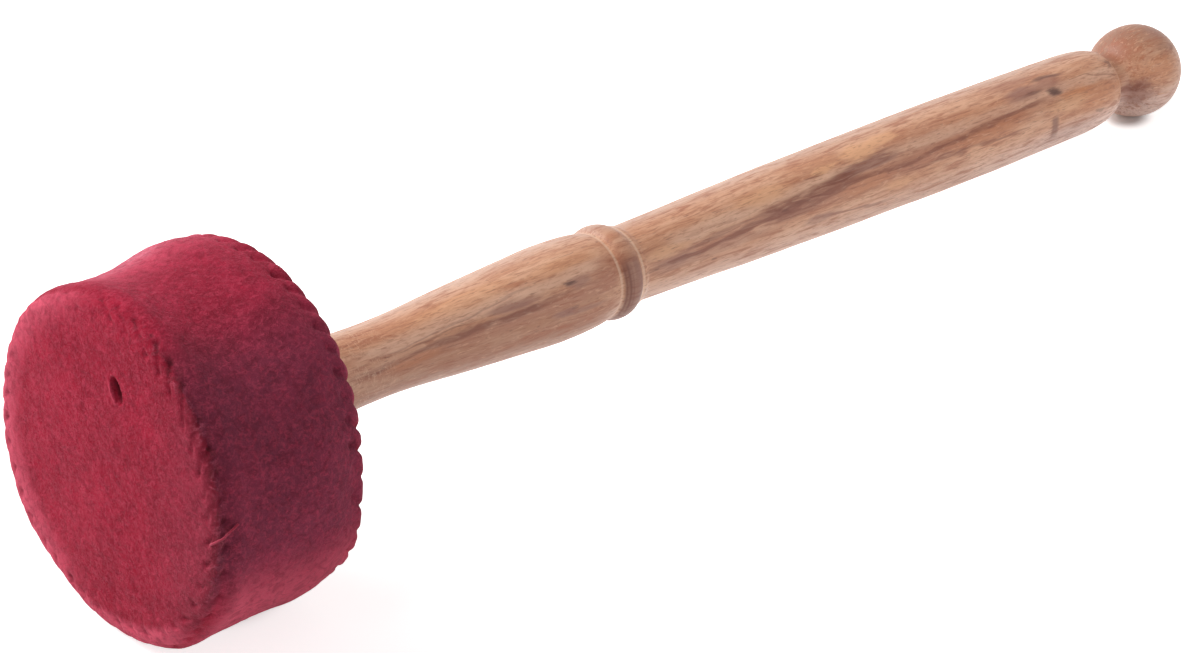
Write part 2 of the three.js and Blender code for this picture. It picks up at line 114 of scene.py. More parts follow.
class Value:
    """An output socket in a finish. Arithmetic on it adds Math nodes."""

    def __init__(self, socket):
        self.socket = socket

    def node(self, kind, settings, inputs, output=0):
        """Any other node, from its type, its settings and what goes into its sockets."""
        tree = self.socket.id_data
        made = tree.nodes.new(kind)
        for setting, choice in settings.items():
            if setting == "stops":
                ramp = made.color_ramp.elements
                while len(ramp) < len(choice):
                    ramp.new(1)
                for stop, (place, shade) in zip(ramp, choice):
                    stop.position, stop.color = place, shade
            else:
                setattr(made, setting, choice)
        for name, given in inputs.items():
            if isinstance(given, Value):
                tree.links.new(given.socket, made.inputs[name])
            else:
                made.inputs[name].default_value = given
        return Value(made.outputs[output])

    def math(self, operation, *given):
        return self.node("ShaderNodeMath", {"operation": operation}, dict(enumerate(given)))

    def __add__(self, other):
        return self.math("ADD", self, other)

    __radd__ = __add__

    def __sub__(self, other):
        return self.math("SUBTRACT", self, other)

    def __rsub__(self, other):
        return self.math("SUBTRACT", other, self)

    def __mul__(self, other):
        return self.math("MULTIPLY", self, other)

    __rmul__ = __mul__

    def __abs__(self):
        return self.math("ABSOLUTE", self)

    def vector(self, operation, *given, output=0):
        inputs = dict(enumerate((self, *given)))
        return self.node("ShaderNodeVectorMath", {"operation": operation}, inputs, output)

    def most(self, other):
        return self.math("MAXIMUM", self, other)

    def rise(self, low, high, top=1):
        """0 at low and the top at high, and smooth between them. It falls where low is the higher."""
        settings = {"interpolation_type": "SMOOTHSTEP"}
        return self.node("ShaderNodeMapRange", settings, {0: self, 1: low, 2: high, 4: top})

    def mix(self, first, second):
        """The first colour where this is 0 and the second where it is 1."""
        return self.node("ShaderNodeMix", {"data_type": "RGBA"}, {0: self, 6: first, 7: second}, 2)

    def grain(self, size, detail=3, stretch=(1, 1, 1), distortion=0, roughness=0.55):
        """Noise from 0 to 1 over a place in millimetres, drawn out by the stretch."""
        vector = self.vector("MULTIPLY", [1 / (size * part) for part in stretch])
        return self.node("ShaderNodeTexNoise", {}, {
            "Vector": vector, "Scale": 1, "Detail": detail,
            "Roughness": roughness, "Distortion": distortion,
        })


def colour(red, green, blue):
    """A colour as it is read off a picture, from 0 to 255, made linear."""
    return [*((part / 255) ** 2.2 for part in (red, green, blue)), 1]


def ray(nodes, kind):
    """1 for the light's rays of that kind, and 0 for the others."""
    return Value(nodes.new("ShaderNodeLightPath").outputs[f"Is {kind} Ray"])


room = bpy.data.worlds.new("room")
bpy.context.scene.world = room
room.use_nodes = True
room_nodes = room.node_tree.nodes
shown = ray(room_nodes, "Camera").most(ray(room_nodes, "Glossy"))
strength = shown.most(ray(room_nodes, "Transmission")) * (1 - ROOM_LIGHT) + ROOM_LIGHT
room.node_tree.links.new(strength.socket, room_nodes["Background"].inputs["Strength"])
room_nodes["Background"].inputs["Color"].default_value = (1, 1, 1, 1)

# Floor: a plain pale sweep. To the camera it is a little brighter than its light, so that only the
# shadow under the mallet shows on it. Round where the head and the knob touch it that lift fades
# away, which paints dark contact shadows there.
FLOOR_SIZE, FLOOR_SHADE = 6, 0.88
FLOOR_LIFT, CONTACT_LIFT = 0.74, 0.02
CONTACTS = ((-0.131, 0, 0, 0.0078), (0.1443, -0.0006, 0, 0.0031))
CONTACT_FADE = 2.4
floor_mesh = bpy.data.meshes.new("floor")
floor_sides = ((-1, -1), (1, -1), (1, 1), (-1, 1))
floor_corners = [(x * FLOOR_SIZE / 2, y * FLOOR_SIZE / 2, 0) for x, y in floor_sides]
floor_mesh.from_pydata(floor_corners, [], [(0, 1, 2, 3)])
floor = bpy.data.objects.new("floor", floor_mesh)
bpy.context.scene.collection.objects.link(floor)
floor_paint = bpy.data.materials.new("pale_floor")
floor_paint.use_nodes = True
floor_nodes = floor_paint.node_tree.nodes
floor_shader = floor_nodes["Principled BSDF"]
floor_shader.inputs["Base Color"].default_value = (*[FLOOR_SHADE] * 3, 1)
floor_shader.inputs["Roughness"].default_value = 0.9
floor_shader.inputs["Specular IOR Level"].default_value = 0
shown = ray(floor_nodes, "Camera").most(ray(floor_nodes, "Glossy"))
spot = Value(floor_nodes.new("ShaderNodeTexCoord").outputs["Object"])
open_floor = 1
# Painted contact shadows: the lift fades out round each place where the mallet touches the floor
for *contact, reach_of_shade in CONTACTS:
    away = spot.vector("DISTANCE", contact, output=1)
    open_floor = open_floor * away.rise(reach_of_shade, reach_of_shade * CONTACT_FADE)
bright = (open_floor * (FLOOR_LIFT - CONTACT_LIFT) + CONTACT_LIFT) * shown
lift = bright.mix((0, 0, 0, 1), (1, 1, 1, 1))
floor_paint.node_tree.links.new(lift.socket, floor_shader.inputs["Emission Color"])
floor_shader.inputs["Emission Strength"].default_value = 1
floor_mesh.materials.append(floor_paint)

# Handle: one piece of streaky hardwood, turned on a lathe: spigot, neck, swell, bead, collar, long
# grip and round knob. The spigot goes into the head, with a pilot hole in its end for the screw.
SPIGOT_RADIUS, SPIGOT_CHAMFER = 8, 0.8
PILOT_RADIUS, PILOT_DEPTH, PILOT_END = 2.3, 18.2, 0.3
SEAT_RADIUS = 8.9
SWELL = ((36, SEAT_RADIUS), (67, 7.9), (90, 9.25), (112, 10.5))
SWELL_END = (126.4, 9.2)
BEAD_AT, BEAD_HALF_WIDTH, BEAD_SIDE_RADIUS, BEAD_RADIUS = 129.6, 2.9, 9, 10.4
COLLAR_RADIUS, COLLAR_END = 9.1, 134.2
GRIP = ((134.7, 8.4), (150, 8.75), (180, 9.5), (235, 10.1), (275, 9.75))
GRIP_END = (288.4, 7.6)
NECK = ((288.7, 6.9), (289.9, 6.5))
KNOB_AT, KNOB_RADIUS, KNOB_FRONT = 302.5, 10.95, 12.4
TURNING_STEP, HANDLE_SIDES = 0.55, 144
# The turning is a little uneven where the handle shows, and not in the head or the pilot hole
HAND_TURNED = ((14, 0.1, 0), (4, 0.03, 2))
UNEVEN_FROM, UNEVEN_OVER, EVEN_SHARE = 33.55, 8.9, 0.3
# The streaks are placed along this length, and a degree round the grip is this wide
HANDLE_LENGTH, DEGREE = 316, math.radians(9.5)
FADE_SHARE = 0.02


def place_of(node, end):
    """Where a node starts or ends along the mallet, in millimetres from the front felt."""
    return (reach(node, end) - reach("cover_front", min)) / MM


def flow(knots, step):
    """A smooth line through points, with a step of about the one given."""
    ends = np.array([knots[0], *knots, knots[-1]], float)
    line = []
    for before, start, end, after in zip(ends, ends[1:], ends[2:], ends[3:]):
        count = max(2, round(np.linalg.norm(end - start) / step))
        share = np.linspace(0, 1, count, endpoint=False)[:, None]
        back = 1 - share
        line.append(
            back**2 * (1 + 2 * share) * start
            + back**2 * share * (end - before) / 2
            + share**2 * (1 + 2 * back) * end
            - share**2 * back * (after - start) / 2
        )
    return np.vstack([*line, ends[-1]])


def bend(middle_at, middle_radius, half_width, height, start, end, count=16):
    """A stretch of an ellipse, between two angles measured from the front towards the outside."""
    turn = np.radians(np.linspace(start, end, count))
    return np.stack([middle_at - half_width * np.cos(turn), middle_radius + height * np.sin(turn)], 1)


def evened(line, step, rounds=2):
    """The line with points an even step apart, and its corners eased."""
    run = np.concatenate([[0], np.cumsum(np.hypot(*np.diff(line, axis=0).T))])
    places = np.linspace(0, run[-1], round(run[-1] / step) + 1)
    even = np.stack([np.interp(places, run, line[:, k]) for k in (0, 1)], 1)
    for _ in range(rounds):
        even[1:-1] = (even[:-2] + 2 * even[1:-1] + even[2:]) / 4
    return even


def around(x, radius, angle):
    """Points in the mallet's frame from places, radii and angles in degrees."""
    turn = np.radians(angle)
    x, radius, turn = np.broadcast_arrays(x, radius, turn)
    return np.stack([x, -radius * np.sin(turn), radius * np.cos(turn)], -1)


def uneven(points, hills):
    """Smooth hills and hollows at each point. Each kind of hill has a width, a height and a seed."""
    total = np.zeros(points.shape[:-1])
    for width, height, seed in hills:
        shift = Vector((seed * 7.3, seed * 3.1, seed * 5.7))
        flat = (points.reshape(-1, 3) / width).tolist()
        total += height * np.array([noise.noise(shift + Vector(p)) for p in flat]).reshape(total.shape)
    return total


def lay(name, finish, rings, ends, node, sunk=None):
    """Makes a closed piece over rings of points, in place of the node, and lays it where the mallet
    lies. Its ends are capped, or joined in a loop. How deep its points are sunk goes with them."""
    count, sides = rings.shape[:2]
    corners = (rings.reshape(-1, 3) * MM).tolist()
    faces = []
    for ring in range(count if ends == "joined" else count - 1):
        here, there = ring * sides, (ring + 1) % count * sides
        for k in range(sides):
            on = (k + 1) % sides
            faces.append((here + k, here + on, there + on, there + k))
    if ends == "capped":
        for ring in (0, count - 1):
            here = ring * sides
            faces += [(here + k, here + (k + 1) % sides, len(corners)) for k in range(sides)]
            corners.append((rings[ring].mean(axis=0) * MM).tolist())
    mesh = bpy.data.meshes.new(name)
    mesh.from_pydata(corners, [], faces)
    if sunk is not None:
        depth = mesh.attributes.new("sunk", "FLOAT", "POINT")
        padded = np.zeros(len(corners), np.float32)
        padded[: sunk.size] = sunk.ravel()
        depth.data.foreach_set("value", padded)
    solid = bmesh.new()
    solid.from_mesh(mesh)
    bmesh.ops.recalc_face_normals(solid, faces=solid.faces)
    solid.to_mesh(mesh)
    solid.free()
    mesh.shade_smooth()
    mesh.materials.append(finish)
    piece = bpy.data.objects.new(name, mesh)
    piece.matrix_world = mallet
    bpy.context.scene.collection.objects.link(piece)
    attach(piece, "root")
    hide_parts(node)
    return piece


spigot_end, seat_at = place_of("handle", min), place_of("rear_pad", min)
knob_from = math.degrees(math.asin(NECK[-1][1] / KNOB_RADIUS))
handle_line = np.vstack([
    [(spigot_end + PILOT_DEPTH, PILOT_END), (spigot_end + PILOT_DEPTH, PILOT_RADIUS)],
    [(spigot_end, PILOT_RADIUS), (spigot_end, SPIGOT_RADIUS - SPIGOT_CHAMFER)],
    [(spigot_end + SPIGOT_CHAMFER, SPIGOT_RADIUS), (seat_at, SPIGOT_RADIUS), (seat_at, SEAT_RADIUS)],
    flow(SWELL, TURNING_STEP),
    bend(SWELL[-1][0], SWELL_END[1], SWELL[-1][0] - SWELL_END[0], SWELL[-1][1] - SWELL_END[1], 90, 0),
    bend(BEAD_AT, BEAD_SIDE_RADIUS, BEAD_HALF_WIDTH, BEAD_RADIUS - BEAD_SIDE_RADIUS, 0, 180),
    [(BEAD_AT + BEAD_HALF_WIDTH, COLLAR_RADIUS), (COLLAR_END, COLLAR_RADIUS)],
    flow(GRIP, TURNING_STEP),
    bend(GRIP[-1][0], GRIP_END[1], GRIP[-1][0] - GRIP_END[0], GRIP[-1][1] - GRIP_END[1], 90, 0),
    NECK,
    bend(KNOB_AT, 0, KNOB_FRONT, KNOB_RADIUS, knob_from, 90, 30)[:-1],
    bend(KNOB_AT, 0, KNOB_RADIUS, KNOB_RADIUS, 90, 179, 30),
])
handle_line = evened(handle_line, TURNING_STEP)
handle_x, handle_radius = handle_line[:, :1], handle_line[:, 1:]
handle_turns = np.arange(HANDLE_SIDES)[None] * 360 / HANDLE_SIDES
hand_turned = uneven(around(handle_x, handle_radius, handle_turns), HAND_TURNED)
hand_turned *= np.clip((handle_x - UNEVEN_FROM) / UNEVEN_OVER, 0, 1)
hand_turned *= np.clip(handle_radius / SPIGOT_RADIUS - EVEN_SHARE, 0, 1)
handle_rings = around(handle_x, handle_radius + hand_turned, handle_turns)


def start_finish(name, fixed):
    """A new finish: its shader with the settings that are the same all over, and the place on the
    piece in millimetres."""
    paint = bpy.data.materials.new(name)
    paint.use_nodes = True
    shader = paint.node_tree.nodes["Principled BSDF"]
    for socket, amount in fixed.items():
        shader.inputs[socket].default_value = amount
    place = Value(paint.node_tree.nodes.new("ShaderNodeTexCoord").outputs["Object"])
    scaled = place.node("ShaderNodeVectorMath", {"operation": "SCALE"}, {0: place, "Scale": 1 / MM})
    return paint, scaled


def end_finish(paint, base, roughness, height, bump, depth):
    """Joins the colour, the roughness where it varies, and a relief to the shader. The relief's
    depth is in millimetres."""
    tree = paint.node_tree
    shader = tree.nodes["Principled BSDF"]
    tree.links.new(base.socket, shader.inputs["Base Color"])
    if roughness is not None:
        tree.links.new(roughness.socket, shader.inputs["Roughness"])
    inputs = {"Strength": bump, "Distance": depth * MM, "Height": height}
    relief = height.node("ShaderNodeBump", {}, inputs)
    tree.links.new(relief.socket, shader.inputs["Normal"])


def split(place):
    """How far along the mallet a place is, how far to the side and up, and its angle in degrees."""
    x, y, z = (place.node("ShaderNodeSeparateXYZ", {}, {0: place}, k) for k in range(3))
    return x, y, z, place.math("ARCTAN2", 0 - y, z) * (180 / math.pi)


def streaky_hardwood():
    """Tan hardwood with ruddy streaks along the grain, and the darker band, blots, knots and marks of
    this handle. Each is placed by how far along it is and by its angle round the handle."""
    paint, place = start_finish("streaky_hardwood", {
        "Specular IOR Level": 0.35, "Coat Weight": 0.35, "Coat Roughness": 0.5,
    })
    x, _, _, angle = split(place)
    broad = place.grain(3.2, 3, (8, 1, 1), 0.6)
    streaks = place.grain(1.0, 4, (9, 1, 1), 0.8)
    lines = place.grain(0.36, 2, (9, 1, 1), 0.5)
    flecks = place.grain(0.75, 3, (4, 1, 1), 1.0)
    pores = place.grain(0.42, 1, (6, 1, 1)).rise(0.66, 0.76)
    waves = place.node("ShaderNodeTexNoise", {}, {
        "Vector": place.vector("MULTIPLY", (1 / 9, 1 / 1.6, 1 / 1.6)), "Scale": 1, "Detail": 4,
    }, "Color")
    spread = x.node("ShaderNodeCombineXYZ", {}, {0: x, 1: angle * DEGREE})
    ragged = waves.vector("SUBTRACT", (0.5, 0.5, 0.5)).vector("MULTIPLY", (9, 2.4, 0))
    ragged = ragged.vector("ADD", spread)

    def blot(along, turn, length, width, amount, crisp=0.5):
        """A ragged blot round a place, with its half length and half width."""
        off = ragged.vector("SUBTRACT", (along, turn * DEGREE, 0)).vector("DIVIDE", (length, width, 1))
        return off.vector("LENGTH", output=1).rise(1 + crisp, 1 - crisp, amount)

    round_place = ragged.node("ShaderNodeSeparateXYZ", {}, {0: ragged}, 1)
    along_share = x * (1 / HANDLE_LENGTH)

    def streak(places, half_width, amount, soft=0.7):
        """A streak along the grain through places and angles, which fades out at its ends."""
        stops = [(along / HANDLE_LENGTH, (*[turn / 180] * 3, 1)) for along, turn in places]
        (start, first), (end, last) = stops[0], stops[-1]
        stops = [(start - FADE_SHARE, (*first[:3], 0)), *stops, (end + FADE_SHARE, (*last[:3], 0))]
        ramp = x.node("ShaderNodeValToRGB", {"stops": stops}, {0: along_share})
        shown = Value(ramp.socket.node.outputs["Alpha"])
        off = abs(round_place - ramp * (180 * DEGREE))
        return off.rise(half_width, half_width * (1 - soft), amount) * shown

    pale, tan, ruddy = colour(222, 171, 140), colour(200, 141, 108), colour(162, 95, 68)
    amber, peach, dark = colour(202, 126, 78), colour(232, 174, 132), colour(116, 56, 36)
    mauve, knot = colour(152, 106, 94), colour(82, 46, 38)
    wood = broad.rise(0.34, 0.66).mix(tan, pale)
    on_swell = x.rise(130, 118)
    near_side, far_side = angle.rise(176, 150), angle.rise(-130, -70)
    # Painted light below: pale bounce light from the floor under the grip, and darker shade under the
    # swell
    underside_bounce_and_shade = on_swell.mix(colour(236, 204, 188), colour(182, 140, 122))
    # Painted light and shade on the handle, one row each
    for where, shade in (
        # the underside, painted bounce light on the grip and painted shade on the swell
        (angle.rise(78, 118) * near_side * 0.6, underside_bounce_and_shade),
        # a painted reflection of the floor along the grip's lower edge near its end
        (angle.rise(80, 112) * near_side * x.rise(225, 275) * 0.8, colour(246, 214, 202)),
        # a painted sheen along the top
        (angle.rise(14, -20) * far_side * 0.6, colour(196, 168, 154)),
        # the knob darker all over, with painted shade on its top and far side
        (x.rise(286, 291) * (angle.rise(60, 0) * far_side * 0.6 + 0.24), colour(140, 94, 72)),
        # the swell darker on its side towards the camera: partly its wood's own tone, partly painted
        # shade from the head
        (on_swell * angle.rise(48, 80) * near_side * 0.3, colour(122, 86, 66)),
        # a painted rim light on the knob's end
        (x.rise(303, 312) * 0.4, colour(218, 180, 158)),
    ):
        wood = where.mix(wood, shade)
    for patch in (
        streak([(62, 78), (90, 74), (122, 64)], 2.8, 0.5, 0.9),
        streak([(80, 100), (120, 96)], 3, 0.3, 0.9),
        streak([(144, 70), (160, 66), (176, 60)], 2.2, 0.5, 0.9),
        streak([(176, 66), (215, 60), (250, 50)], 3.6, 0.65, 0.9),
        blot(294, 8, 3.5, 3.2, 0.5),
        streak([(214, 30), (250, 40), (284, 50)], 3.6, 0.35, 0.9),
        blot(124, 52, 5, 3, 0.5),
    ):
        wood = patch.mix(wood, ruddy)
    for patch in (
        blot(272, 50, 5, 1.8, 0.7), blot(200, 66, 9, 1.5, 0.4), blot(70, 72, 7, 1.6, 0.4),
        blot(300, 62, 5, 2.5, 0.5), blot(240, 62, 12, 2.4, 0.4), blot(244, 34, 14, 2, 0.3),
        blot(278, 64, 7, 3, 0.4),
    ):
        wood = patch.mix(wood, amber)
    wood = streaks.rise(0.46, 0.7, 0.7).mix(wood, ruddy)
    wood = flecks.rise(0.46, 0.3, 0.45).mix(wood, pale)
    # Pale streaks along the swell and the grip at about 43 degrees: pale streaks in the wood, made
    # stronger as painted light on that side
    for run, amount in (([(60, 44), (118, 42)], 0.55), ([(146, 44), (284, 40)], 0.45)):
        wood = streak(run, 2.2, amount, 0.9).mix(wood, colour(234, 190, 164))
    wood = flecks.rise(0.52, 0.68, 0.3).mix(wood, colour(178, 112, 84))
    for patch in (
        blot(202, 22, 5.5, 2.2, 0.75, 0.35), blot(210, 16, 4.5, 1.5, 0.7, 0.35),
        blot(171, 34, 7, 2.0, 0.6), blot(190, 29, 3.5, 1.0, 0.7, 0.3),
        blot(142, 56, 6, 1.2, 0.6), blot(211, 82, 5, 1.0, 0.5),
        blot(268, 64, 7, 1.6, 0.5), blot(86, 20, 12, 1.6, 0.4), blot(112, 26, 9, 1.4, 0.3),
    ):
        wood = patch.mix(wood, peach)
    for patch in (
        blot(97, 52, 6, 1.0, 0.7), blot(115, 53, 3, 0.9, 0.6), blot(109, 82, 3.5, 0.6, 0.7),
        blot(115, 85, 5, 0.5, 0.5), blot(142, 76, 6, 1.6, 0.5), blot(203, 45, 8, 1.2, 0.7, 0.3),
        blot(186, 90, 4.5, 1.0, 0.5), blot(157, 80, 14, 1.2, 0.35), blot(256, 29, 5.5, 1.6, 0.75),
        blot(265, 26, 4, 1.8, 0.55),
        streak([(186, 88), (196, 97), (204, 101)], 0.5, 0.6),
        streak([(66, 53), (84, 46), (100, 38)], 0.4, 0.4),
        # The blot at 293 and 96 degrees is painted shade on the lower side of the neck between grip
        # and knob
        blot(293, 96, 4.5, 4, 0.7), blot(255, 8, 8, 1.5, 0.35), blot(268, 104, 9, 2, 0.3),
        blot(305, 14, 3, 2, 0.4),
    ):
        wood = patch.mix(wood, mauve)
    ribbed = streaks.rise(0.28, 0.6) * 0.65 + 0.22
    for patch in (
        streak([(60, 70), (72, 66), (82, 63), (94, 65), (104, 62)], 1.0, 0.8),
        streak([(69, 57), (76, 55), (84, 53)], 0.25, 0.6),
        streak([(100, 62), (116, 58)], 0.4, 0.4),
        streak([(138, 76), (150, 74), (160, 70), (169, 64), (178, 60), (184, 56)], 0.9, 0.8),
        streak([(146, 66), (154, 62), (164, 58), (172, 57)], 0.5, 0.65),
        streak([(173, 62), (181, 60), (188, 56), (195, 50)], 2.7, 1, 0.7),
        streak([(190, 50), (198, 44), (208, 41)], 1.7, 0.7),
        streak([(192, 62), (204, 58), (214, 61), (226, 57), (240, 51), (256, 48)], 0.7, 0.8),
        streak([(216, 70), (228, 70), (240, 72), (248, 74)], 0.6, 0.6),
        blot(231, 72, 2.5, 0.7, 0.7), blot(187, 34, 3.5, 0.35, 0.75), blot(180, 74, 5, 0.5, 0.5),
        # The blot at 292 and 84 degrees is painted shade on the lower side of the neck between grip
        # and knob
        blot(306, 38, 3.5, 0.9, 0.5), blot(292, 84, 4, 1.3, 0.8),
    ):
        wood = (patch * ribbed).mix(wood, dark)
    wood = lines.rise(0.5, 0.72, 0.5).mix(wood, colour(150, 88, 62))
    for patch in (
        blot(265, 41.5, 1.9, 0.75, 0.9, 0.7), blot(266.4, 45, 1.5, 0.5, 0.7, 0.7),
        blot(264, 18, 2.6, 0.5, 0.6, 0.7), blot(267, 20, 2.2, 0.35, 0.5, 0.7),
        blot(259, 33, 3, 0.35, 0.5, 0.7), blot(112.6, 51.5, 1.4, 0.4, 0.8, 0.6),
        blot(153.5, 93, 0.8, 0.3, 0.5), blot(286.5, 28, 1, 1.2, 0.5), blot(279, 91, 1, 0.5, 0.4),
    ):
        wood = patch.mix(wood, knot)
    scar = x.rise(261.1, 262.2, 0.7) * x.rise(264.5, 263.1) * angle.rise(72, 78) * angle.rise(116, 90)
    wood = scar.mix(wood, colour(118, 76, 66))
    wood = streak([(276, 33), (281, 40), (288, 50)], 0.3, 0.5).mix(wood, colour(140, 84, 60))
    in_bead = abs(x - BEAD_AT).rise(BEAD_HALF_WIDTH, BEAD_HALF_WIDTH - 0.7)
    # Darker rings on the bead, stronger towards its lower side
    bead_darkening = (place.grain(0.8, 1, (1, 30, 30)) * angle.rise(38, 60) * near_side * 1.3 + 0.25) * in_bead
    wood = (bead_darkening * 0.8).mix(wood, colour(118, 70, 58))
    edges = (BEAD_AT - 3.3, BEAD_AT + 3.4, GRIP_END[0] - 0.4)
    lips = sum(abs(x - edge).rise(0.6, 0.1) for edge in edges)
    wood = (lips * 0.5).mix(wood, colour(236, 200, 172))
    wood = (pores * 0.35).mix(wood, colour(104, 60, 46))
    scratches = abs(place.grain(1.3, 2, (1, 2.5, 2.5), 1.2) - 0.5).rise(0.03, 0) * x.rise(72, 58)
    wood = (scratches * 0.4).mix(wood, colour(230, 190, 158))
    height = lines * 0.5 - pores * 0.6 + streaks * 0.4 - scratches * 0.3
    end_finish(paint, wood, 0.44 + 0.16 * streaks, height, 0.3, 0.1)
    return paint


lay("turned_handle", streaky_hardwood(), handle_rings, "capped", "handle")

# Core puck: a plain turned wooden disc on the spigot, which gives the head its weight. Its front is
# bored out for the washer and the screw. It keeps its shape from the frame.


def plain_softwood():
    paint, place = start_finish("plain_softwood", {"Specular IOR Level": 0.3})
    rings = place.grain(3.2, 2, (9, 1, 1), 0.5)
    lines = place.grain(0.5, 3, (20, 1, 1))
    tool_marks = place.grain(0.6, 1, (1, 14, 14))
    straw = rings.rise(0.35, 0.65).mix(colour(226, 196, 148), colour(206, 168, 116))
    lined = (lines.rise(0.5, 0.72) * 0.4).mix(straw, colour(178, 136, 88))
    end_finish(paint, lined, 0.62 + 0.2 * rings, lines + tool_marks * 0.6, 0.4, 0.08)
    return paint


def refinish(node, paint):
    """Gives a piece that keeps its shape from the frame its own finish."""
    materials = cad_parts[node].data.materials
    materials.clear()
    materials.append(paint)


refinish("core_puck", plain_softwood())

# Washer and screw: zinc-plated steel. The screw goes through the washer into the end of the
# spigot and holds the core on the handle. Both keep their shapes from the frame.


def zinc_plate():
    paint, place = start_finish("zinc_plate", {"Metallic": 1})
    spangle = place.grain(1.4, 2, (1, 1, 1), 1.2)
    brushed = place.grain(0.18, 2, (1, 9, 1))
    spots = place.grain(0.7, 3).rise(0.66, 0.74)
    bright = spangle.rise(0.35, 0.65).mix(colour(206, 208, 212), colour(184, 187, 192))
    dulled = (spots * 0.5).mix(bright, colour(150, 148, 142))
    end_finish(paint, dulled, 0.3 + 0.16 * spangle + 0.25 * spots, brushed, 0.3, 0.03)
    return paint


zinc = zinc_plate()
refinish("retaining_washer", zinc)
refinish("retaining_screw", zinc)

# Padding: a strip of grey wool felt, 3 mm thick, wound round the core as a flat spiral. The
# front of the padding has slumped towards the table, and the pads and the cover with it.
FELT = 3
PADDING_START, PADDING_OUTSIDE, TURN_SPACE, START_TURN = 16.3, 31.9, 3.4, 11.5
STRIP_STEP, STRIP_EDGE, STRIP_STEPS_A_TURN = 3, 0.5, 72
STRIP_HILLS = ((4, 0.1, 5),)
# How far the upper and the lower side of the head have slumped, by the place along it
UPPER_SLUMP = ((0, 1.2), (6, 1.9), (13, 3.2), (20, 2.9), (28, 1.3), (36, 0.3))
LOWER_SLUMP = ((0, 2.2), (6, 2.6), (13, 2.6), (20, 1.8), (28, 1.2), (36, 0.9))
SLUMP_FROM, SLUMP_TO, SLUMP_STEP = 14, 34, 0.5
CLEARANCE = 0.02
slumps = flow(UPPER_SLUMP, SLUMP_STEP), flow(LOWER_SLUMP, SLUMP_STEP)
padding_from, padding_to = place_of("core_puck", min), place_of("core_puck", max)


def settled(points, clearance=CLEARANCE):
    """The points of the head once it has slumped at its front and lies flat on the table."""
    radius = np.hypot(points[..., 1], points[..., 2])
    share = np.clip((radius - SLUMP_FROM) / (SLUMP_TO - SLUMP_FROM), 0, 1)
    share = share * share * (3 - 2 * share)
    below = (1 - points[..., 2] / np.maximum(radius, SLUMP_FROM)) / 2
    upper, lower = (np.interp(points[..., 0], *line.T) for line in slumps)
    points = points.copy()
    points[..., 2] -= share * (upper * (1 - below) + lower * below)
    lean = np.array(mallet)[2]
    height = points @ lean[:3] + lean[3] / MM
    points[..., 2] += np.clip(clearance - height, 0, None) / lean[2]
    return points


def grey_felt():
    paint, place = start_finish("grey_felt", {
        "Specular IOR Level": 0.15, "Roughness": 0.95, "Sheen Weight": 0.4, "Sheen Roughness": 0.5,
    })
    clumps = place.grain(2.4, 4, distortion=0.8)
    hairs = 1 - abs(place.grain(0.7, 3, (1, 2, 1), 1.8) - 0.5).rise(0, 0.05)
    dark = place.grain(1.1, 2, (2, 1, 1), 1.2).rise(0.6, 0.68)
    base = clumps.rise(0.35, 0.65).mix(colour(166, 160, 150), colour(186, 180, 168))
    haired = (hairs * 0.35).mix(base, colour(214, 209, 198))
    flecked = (dark * 0.5).mix(haired, colour(104, 98, 92))
    end_finish(paint, flecked, None, clumps + hairs * 0.4, 0.8, 0.25)
    return paint


def eased(corners, step, radius):
    """A closed outline through the corners, each rounded off, with points about a step apart."""
    line = []
    corners = np.array(corners, float)
    for before, here, after in zip(np.roll(corners, 1, 0), corners, np.roll(corners, -1, 0)):
        start = here + (before - here) * radius / np.hypot(*(before - here))
        end = here + (after - here) * radius / np.hypot(*(after - here))
        line += [start, (start + 2 * here + end) / 4, end]
        count = max(1, round((np.hypot(*(after - here)) - 2 * radius) / step))
        stop = after + (here - after) * radius / np.hypot(*(after - here))
        line += [end + (stop - end) * k / count for k in range(1, count)]
    return np.array(line)


grey = grey_felt()
strip_turns = (PADDING_OUTSIDE - PADDING_START - FELT) / TURN_SPACE
strip_corners = [(padding_from, 0), (padding_to, 0), (padding_to, FELT), (padding_from, FELT)]
strip_outline = eased(strip_corners, STRIP_STEP, STRIP_EDGE)
strip_rings = []
for run in np.linspace(0, strip_turns, round(strip_turns * STRIP_STEPS_A_TURN)):
    radius = PADDING_START + TURN_SPACE * run + strip_outline[:, 1]
    strip_rings.append(around(strip_outline[:, 0], radius, START_TURN - 90 + 360 * run))
strip_rings = np.array(strip_rings)
out = strip_rings * (0, 1, 1) / np.hypot(strip_rings[..., 1], strip_rings[..., 2])[..., None]
strip_rings = strip_rings + out * uneven(strip_rings, STRIP_HILLS)[..., None]
padding = lay("padding_strip", grey, settled(strip_rings), "capped", "padding_roll")

# Tacks: three steel tacks through the start of the strip into the core. Their heads sink into the
# felt. They keep their shapes from the frame.
for number in (1, 2, 3):
    refinish(f"padding_tack_{number}", zinc)

# Twine: buff three-ply twine, wound five times round the padding to tie it.
TWINE_RADIUS, TWINE_TURNS, TWINE_SPACE = 0.5, 5, 3
TWINE_PLIES, TWINE_LAY, TWINE_SINK = 3, 4.2, 0.25
TWINE_STEPS_A_TURN, TWINE_CLIMB = 90, 0.15
PLY_GROOVE = 0.16


